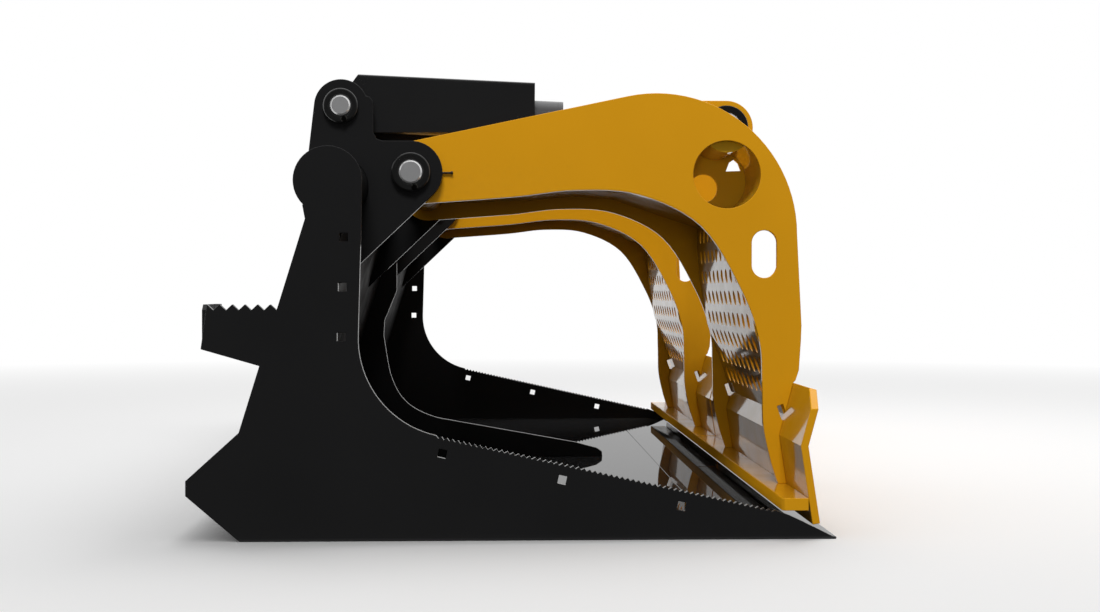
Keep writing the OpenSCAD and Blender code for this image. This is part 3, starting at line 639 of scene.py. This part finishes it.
@dataclass
class PinSet:
    """Turned pins on one axis; each end's chamfer is brighter steel, a painted highlight around the rim."""

    node: str
    finish_name: str
    radius: float
    chamfer: float = 2.8 * MM

    def build(self) -> bpy.types.Object:
        """Make the pins from the node's own spans.

        Returns:
            The piece.
        """
        low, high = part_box(self.node)
        x = (low.x + high.x) / 2
        z = (low.z + high.z) / 2
        build = bmesh.new()
        for start, stop in self._spans():
            lathe(build, self._profile(start, stop), x, z)
        piece = finished_mesh(self.node + "_turned", build)
        dress(piece, pin_finish(self.finish_name, x, z))
        # The chamfer faces get the brighter steel: a painted highlight around each pin's end.
        piece.data.materials.append(PIN_CHAMFER_PAINTED_HIGHLIGHT.material())
        for face in piece.data.polygons:
            if 0.3 < abs(face.normal.y) < 0.95:
                face.material_index = 1
        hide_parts(self.node)
        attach(piece, frame["nodes"][self.node]["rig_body"])
        return piece

    def _spans(self) -> list[tuple[float, float]]:
        """Where each pin starts and ends along Y.

        Returns:
            Pairs of Y.
        """
        values = sorted({round(v.co.y, 5) for v in frame["nodes"][self.node].data.vertices})
        return list(zip(values[::2], values[1::2]))

    def _profile(self, start: float, stop: float) -> list[tuple[float, float]]:
        """Outline of one pin.

        Args:
            start: its lower Y.
            stop: its higher Y.

        Returns:
            Points (y, radius).
        """
        edge = self.radius - self.chamfer
        end = [(start, 0.0), (start, edge * 0.5), (start, edge), (start + self.chamfer, self.radius)]
        far = [(stop - self.chamfer, self.radius), (stop, edge), (stop, edge * 0.5), (stop, 0.0)]
        return end + far


@dataclass
class RoundWork:
    """Rings, bushes, washers and the cylinders' turned pieces."""

    easing: float = 3.4 * MM
    fine: float = 0.6 * MM

    def build(self) -> list[bpy.types.Object]:
        """Make every turned piece that keeps its CAD form.

        Returns:
            The pieces.
        """
        pieces = [
            self._piece("pin_rings", self.easing, RING_COAT),
            self._piece("pin_spacers", self.fine, WASHER_STEEL),
        ]
        for side in Side:
            word = side.value
            pieces.append(self._piece(f"{word}_bushes", self.fine * 2, RING_COAT))
            for part in ("barrel", "gland", "ports", "rod_eye"):
                pieces.append(self._piece(f"{word}_{part}", self.fine, CYLINDER_COAT))
            pieces.append(self._piece(f"{word}_rod", self.fine, ROD_CHROME))
            pieces.append(self._piece(f"{word}_piston", self.fine, WASHER_STEEL))
        return pieces

    def _piece(self, node: str, width: float, finish: Finish) -> bpy.types.Object:
        """One eased and dressed piece.

        Args:
            node: the CAD node.
            width: the easing's width.
            finish: its finish.

        Returns:
            The piece.
        """
        return dress(eased(node, width), finish)


@dataclass
class LockBolts:
    """Hex heads that keep the pins from turning, repeated by geometry nodes."""

    node: str = "lock_bolts"
    across: float = 9 * MM
    height: float = 3.6 * MM
    washer: float = 5.6 * MM
    washer_height: float = 0.9 * MM
    arm_middle: float = 561 * MM

    def build(self) -> bpy.types.Object:
        """Make the bolt heads at the CAD heads' places.

        Returns:
            The piece.
        """
        mesh = bpy.data.meshes.new(self.node + "_points")
        mesh.from_pydata([tuple(place) for place in self._places()], [], [])
        piece = link_mesh("lock_bolt_heads", mesh)
        tree = self._tree()
        modifier = piece.modifiers.new("heads", "NODES")
        modifier.node_group = tree
        values = {
            "Across": self.across,
            "Height": self.height,
            "Washer": self.washer,
            "Lift": self.washer_height,
            "Middle": self.arm_middle,
        }
        for item in tree.interface.items_tree:
            if item.item_type == "SOCKET" and item.in_out == "INPUT" and item.name in values:
                modifier[item.identifier] = values[item.name]
        baked(piece)
        smooth(piece, 28.0)
        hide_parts(self.node)
        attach(piece, "bucket")
        return piece

    def _places(self) -> list[Vector]:
        """The seat of each head, found from the CAD solids.

        Returns:
            Points in metres; each head faces away from the middle of its arm.
        """
        build = bmesh.new()
        build.from_mesh(frame["nodes"][self.node].data)
        bmesh.ops.remove_doubles(build, verts=build.verts, dist=1e-6)
        places = []
        left = set(build.verts)
        while left:
            island = set()
            front = [left.pop()]
            while front:
                vertex = front.pop()
                island.add(vertex)
                for edge in vertex.link_edges:
                    other = edge.other_vert(vertex)
                    if other in left:
                        left.discard(other)
                        front.append(other)
            places.append(sum((v.co for v in island), Vector()) / len(island))
        build.free()
        return places

    def _tree(self) -> bpy.types.NodeTree:
        """Build the tree that puts a head with its washer on each point.

        Returns:
            The geometry node tree.
        """
        tree = bpy.data.node_groups.new("hex_heads", "GeometryNodeTree")
        tree.interface.new_socket("Geometry", in_out="INPUT", socket_type="NodeSocketGeometry")
        for name in ("Across", "Height", "Washer", "Lift", "Middle"):
            tree.interface.new_socket(name, in_out="INPUT", socket_type="NodeSocketFloat")
        tree.interface.new_socket("Geometry", in_out="OUTPUT", socket_type="NodeSocketGeometry")
        wiring = Wiring(tree)
        given = wiring.add("NodeGroupInput").outputs
        half = wiring.math("MULTIPLY", given["Across"], 0.5)
        head = wiring.add(
            "GeometryNodeMeshCylinder",
            {"Vertices": 6, "Radius": half, "Depth": given["Height"]},
        ).outputs["Mesh"]
        crown = wiring.add(
            "GeometryNodeMeshCone",
            {"Vertices": 24, "Radius Top": half, "Radius Bottom": given["Washer"], "Depth": given["Lift"]},
        ).outputs["Mesh"]
        down = wiring.math("MULTIPLY", given["Height"], -0.4)
        offset = wiring.add("ShaderNodeCombineXYZ", {"Z": down}).outputs[0]
        seated = wiring.add("GeometryNodeTransform", {"Geometry": crown, "Translation": offset}).outputs[0]
        joined = wiring.add("GeometryNodeJoinGeometry")
        tree.links.new(head, joined.inputs[0])
        tree.links.new(seated, joined.inputs[0])
        position = wiring.add("GeometryNodeInputPosition").outputs[0]
        side = wiring.add("ShaderNodeSeparateXYZ", {"Vector": position}).outputs["Y"]
        spread = wiring.math("ABSOLUTE", side)
        past = wiring.math("SUBTRACT", spread, given["Middle"])
        facing = wiring.math("MULTIPLY", side, past)
        sign = wiring.math("SIGN", facing)
        turn = wiring.math("MULTIPLY", sign, -math.pi / 2)
        angles = wiring.add("ShaderNodeCombineXYZ", {"X": turn}).outputs[0]
        heads = wiring.add(
            "GeometryNodeInstanceOnPoints",
            {"Points": given["Geometry"], "Instance": joined.outputs[0], "Rotation": angles},
        ).outputs[0]
        real = wiring.add("GeometryNodeRealizeInstances", {"Geometry": heads}).outputs[0]
        painted = wiring.add("GeometryNodeSetMaterial", {"Geometry": real}).outputs[0]
        tree.nodes[-1].inputs["Material"].default_value = BOLT_ZINC.material()
        result = wiring.add("NodeGroupOutput")
        tree.links.new(painted, result.inputs["Geometry"])
        return tree


@dataclass
class Studio:
    """Camera, lamps, background and floor."""

    place: Point = (-0.026, -3.525, 0.4038)
    yaw: float = 1.955
    pitch: float = 0.598
    lens: float = 50.0
    floor_size: float = 60.0
    fade_start: float = 1.6
    fade_end: float = 5.5
    paper: float = 0.97
    bounce: float = 0.1
    mirror_dark: float = 0.02
    horizon: float = 0.15
    zenith: float = 0.7
    zenith_height: float = 0.7
    mirror_start: float = -0.4
    mirror_end: float = 0.1
    near_floor: float = -1.09

    def build(self) -> None:
        """Set up the whole studio."""
        self._camera()
        self._world()
        self._lamps(self._floor())
        bpy.context.scene.view_settings.view_transform = "Standard"

    def _camera(self) -> None:
        """Put the camera where the photograph was taken from."""
        data = bpy.data.cameras.new("camera")
        data.lens = self.lens
        data.sensor_width = 36.0
        data.clip_end = 200.0
        camera = bpy.data.objects.new("camera", data)
        yaw = math.radians(self.yaw)
        pitch = math.radians(self.pitch)
        forward = Vector((math.sin(yaw) * math.cos(pitch), math.cos(yaw) * math.cos(pitch), -math.sin(pitch)))
        camera.location = self.place
        camera.rotation_euler = forward.to_track_quat("-Z", "Y").to_euler()
        bpy.context.scene.collection.objects.link(camera)
        bpy.context.scene.camera = camera

    def _world(self) -> None:
        """White where the camera, glossy and transmission rays meet it, a plain grey light elsewhere."""
        world = bpy.data.worlds.new("studio")
        bpy.context.scene.world = world
        world.use_nodes = True
        wiring = Wiring(world.node_tree)
        world.node_tree.nodes.clear()
        path = wiring.add("ShaderNodeLightPath").outputs
        direction = wiring.add("ShaderNodeTexCoord").outputs["Generated"]
        parts = wiring.add("ShaderNodeSeparateXYZ", {"Vector": direction}).outputs
        depth = parts["Y"]
        mirror = wiring.span(depth, self.mirror_start, self.mirror_end, self.mirror_dark, 1.0)
        glossy = wiring.math("MULTIPLY", path["Is Glossy Ray"], mirror)
        seen = wiring.math("MAXIMUM", path["Is Camera Ray"], path["Is Transmission Ray"])
        shown = wiring.math("MAXIMUM", seen, glossy)
        sky = wiring.span(parts["Z"], 0.0, self.zenith_height, self.horizon, self.zenith)
        other = wiring.math("MULTIPLY", path["Is Diffuse Ray"], sky)
        strength = wiring.math("MAXIMUM", shown, other)
        background = wiring.add("ShaderNodeBackground", {"Color": WHITE, "Strength": strength})
        output = wiring.add("ShaderNodeOutputWorld")
        world.node_tree.links.new(background.outputs[0], output.inputs["Surface"])

    def _lamps(self, floor: bpy.types.Object) -> None:
        """Soft boxes: overhead, high at the front, low at the front and at the far corner.

        All but the overhead one are kept off the floor, so that it has one soft shadow.

        Args:
            floor: the studio floor.
        """
        self._softbox("overhead", (0.8, 0.5, 3.4), (0.0, -0.3, 0.0), 2.6, 62.0)
        key = self._softbox("front", (-0.2, -4.6, 4.6), (0.0, -0.3, 0.4), 1.6, 256.0)
        fill = self._softbox("low_front", (-0.3, -7.0, 0.45), (0.0, 0.0, 0.45), 1.2, 60.0)
        rear = self._softbox("far_corner", (2.8, 3.4, 2.8), (0.0, 0.2, 0.4), 2.0, 200.0)
        for lamp in (key, fill, rear):
            self._spare_floor(lamp, floor)

    @staticmethod
    def _spare_floor(lamp: bpy.types.Object, floor: bpy.types.Object) -> None:
        """Keep a lamp's light off the floor.

        Args:
            lamp: the lamp.
            floor: the studio floor.
        """
        group = bpy.data.collections.new(lamp.name + "_receivers")
        group.objects.link(floor)
        group.collection_objects[0].light_linking.link_state = "EXCLUDE"
        lamp.light_linking.receiver_collection = group

    def _softbox(self, name: str, place: tuple, aim: tuple, size: float, power: float) -> bpy.types.Object:
        """Add one square area lamp.

        Args:
            name: its name.
            place: where it stands.
            aim: the point it faces.
            size: its side in metres.
            power: its power in watts.

        Returns:
            The lamp.
        """
        data = bpy.data.lights.new(name, "AREA")
        data.energy = power
        data.size = size
        lamp = bpy.data.objects.new(name, data)
        lamp.location = place
        lamp.rotation_euler = (Vector(aim) - Vector(place)).to_track_quat("-Z", "Y").to_euler()
        lamp.visible_glossy = False
        bpy.context.scene.collection.objects.link(lamp)
        return lamp

    def _floor(self) -> bpy.types.Object:
        """A pale floor that keeps the bucket's shadow and fades to white further off."""
        build = bmesh.new()
        bmesh.ops.create_grid(build, x_segments=2, y_segments=2, size=self.floor_size / 2)
        mesh = bpy.data.meshes.new("studio_floor")
        build.to_mesh(mesh)
        build.free()
        floor = link_mesh("studio_floor", mesh)
        floor.data.materials.append(self._floor_material())
        return floor

    def _floor_material(self) -> bpy.types.Material:
        """Pale paper near the bucket, white far from it.

        Returns:
            The material.
        """
        material = bpy.data.materials.new("studio_paper")
        material.use_nodes = True
        wiring = Wiring(material.node_tree)
        paper = material.node_tree.nodes["Principled BSDF"]
        paper.inputs["Roughness"].default_value = 0.9
        paper.inputs["Specular IOR Level"].default_value = 0.0
        place = wiring.add("ShaderNodeTexCoord").outputs["Object"]
        distance = wiring.add("ShaderNodeVectorMath", {0: place}, operation="LENGTH").outputs["Value"]
        fade = wiring.span(distance, self.fade_start, self.fade_end, 0.0, 1.0)
        depth = wiring.add("ShaderNodeSeparateXYZ", {"Vector": place}).outputs["Y"]
        path = wiring.add("ShaderNodeLightPath").outputs
        glossy = path["Is Glossy Ray"]
        seen = wiring.math("MAXIMUM", path["Is Camera Ray"], glossy)
        near = wiring.math("LESS_THAN", depth, self.near_floor)
        dark = wiring.math("MULTIPLY", near, glossy)
        white_part = wiring.math("MULTIPLY", fade, seen)
        amount = wiring.math("MAXIMUM", white_part, dark)
        mirror = wiring.span(dark, 0.0, 1.0, 1.0, self.mirror_dark)
        tint = wiring.span(path["Is Diffuse Ray"], 0.0, 1.0, self.paper, self.paper * self.bounce)
        wiring.tree.links.new(tint, paper.inputs["Base Color"])
        white = wiring.add("ShaderNodeEmission", {"Color": WHITE, "Strength": mirror})
        mix = wiring.add(
            "ShaderNodeMixShader", {0: amount, 1: paper.outputs[0], 2: white.outputs[0]}
        ).outputs[0]
        output = material.node_tree.nodes["Material Output"]
        material.node_tree.links.new(mix, output.inputs["Surface"])
        return material


def main() -> None:
    """Build every assembly in order and report its pieces."""
    logging.basicConfig(level=logging.INFO)
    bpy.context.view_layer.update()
    Studio().build()
    pieces = PlateWork().build()
    pieces += RoundWork().build()
    pieces += [
        PinSet("pivot_pins", "pivot_pin_steel", 20 * MM).build(),
        PinSet("base_pins", "base_pin_steel", 17.5 * MM).build(),
        PinSet("right_rod_pin", "rod_pin_steel", 25 * MM).build(),
        PinSet("left_rod_pin", "rod_pin_steel", 25 * MM).build(),
        LockBolts().build(),
    ]
    for piece in pieces:
        LOG.info("%s: %d faces", piece.name, len(piece.data.polygons))


if __name__ == "__main__":
    main()
